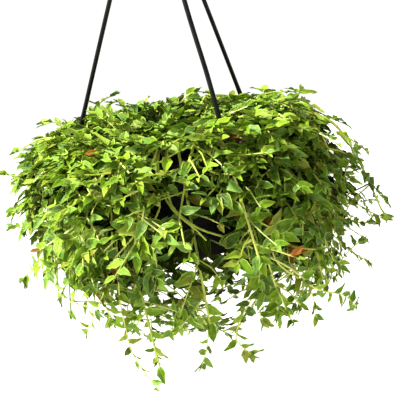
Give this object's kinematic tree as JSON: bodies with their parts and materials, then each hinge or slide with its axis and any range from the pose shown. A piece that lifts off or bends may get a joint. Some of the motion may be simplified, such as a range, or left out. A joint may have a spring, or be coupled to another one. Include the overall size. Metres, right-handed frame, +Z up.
{
  "type": "hanging basket with trailing plant",
  "caption": "Trailing vine with small pointed leaves in a round plastic hanging basket, with a three-armed hanger and an open hook.",
  "frame": {"origin": "seat inside the top of the hook, where the basket hangs, on the pot's middle line", "axes": "+Z up along the pot's middle line, -Y towards the front of the plant, +X to its right"},
  "size_m": [0.4039, 0.3965, 0.5721],
  "materials": {
    "pot_plastic": "satin black moulded plastic",
    "hanger_plastic": "satin black moulded plastic",
    "potting_soil": "rough moist compost",
    "leafy_stem": "softly glossy leaf"
  },
  "bodies": {
    "root": {"pot": "pot_plastic", "soil": "potting_soil", "hanger_arm_left": "hanger_plastic", "hanger_arm_back": "hanger_plastic", "hanger_arm_front": "hanger_plastic", "hanger_hook": "hanger_plastic", "crown_vine_01": "leafy_stem", "crown_vine_02": "leafy_stem", "crown_vine_03": "leafy_stem", "crown_vine_04": "leafy_stem", "crown_vine_05": "leafy_stem", "crown_vine_06": "leafy_stem", "crown_vine_07": "leafy_stem", "crown_vine_08": "leafy_stem", "shoulder_vine_01": "leafy_stem", "shoulder_vine_02": "leafy_stem", "shoulder_vine_03": "leafy_stem", "shoulder_vine_04": "leafy_stem", "shoulder_vine_05": "leafy_stem", "shoulder_vine_06": "leafy_stem", "shoulder_vine_07": "leafy_stem", "shoulder_vine_08": "leafy_stem", "shoulder_vine_09": "leafy_stem", "shoulder_vine_10": "leafy_stem", "shoulder_vine_11": "leafy_stem", "shoulder_vine_12": "leafy_stem", "side_vine_01": "leafy_stem", "side_vine_02": "leafy_stem", "side_vine_03": "leafy_stem", "side_vine_04": "leafy_stem", "side_vine_05": "leafy_stem", "side_vine_06": "leafy_stem", "side_vine_07": "leafy_stem", "side_vine_08": "leafy_stem", "side_vine_09": "leafy_stem", "side_vine_10": "leafy_stem", "side_vine_11": "leafy_stem", "side_vine_12": "leafy_stem", "skirt_vine_01": "leafy_stem", "skirt_vine_02": "leafy_stem", "skirt_vine_03": "leafy_stem", "skirt_vine_04": "leafy_stem", "skirt_vine_05": "leafy_stem", "skirt_vine_06": "leafy_stem", "trail_vine_01": "leafy_stem", "trail_vine_02": "leafy_stem", "trail_vine_03": "leafy_stem", "trail_vine_04": "leafy_stem", "trail_vine_05": "leafy_stem", "trail_vine_06": "leafy_stem"}
  },
  "joints": []
}
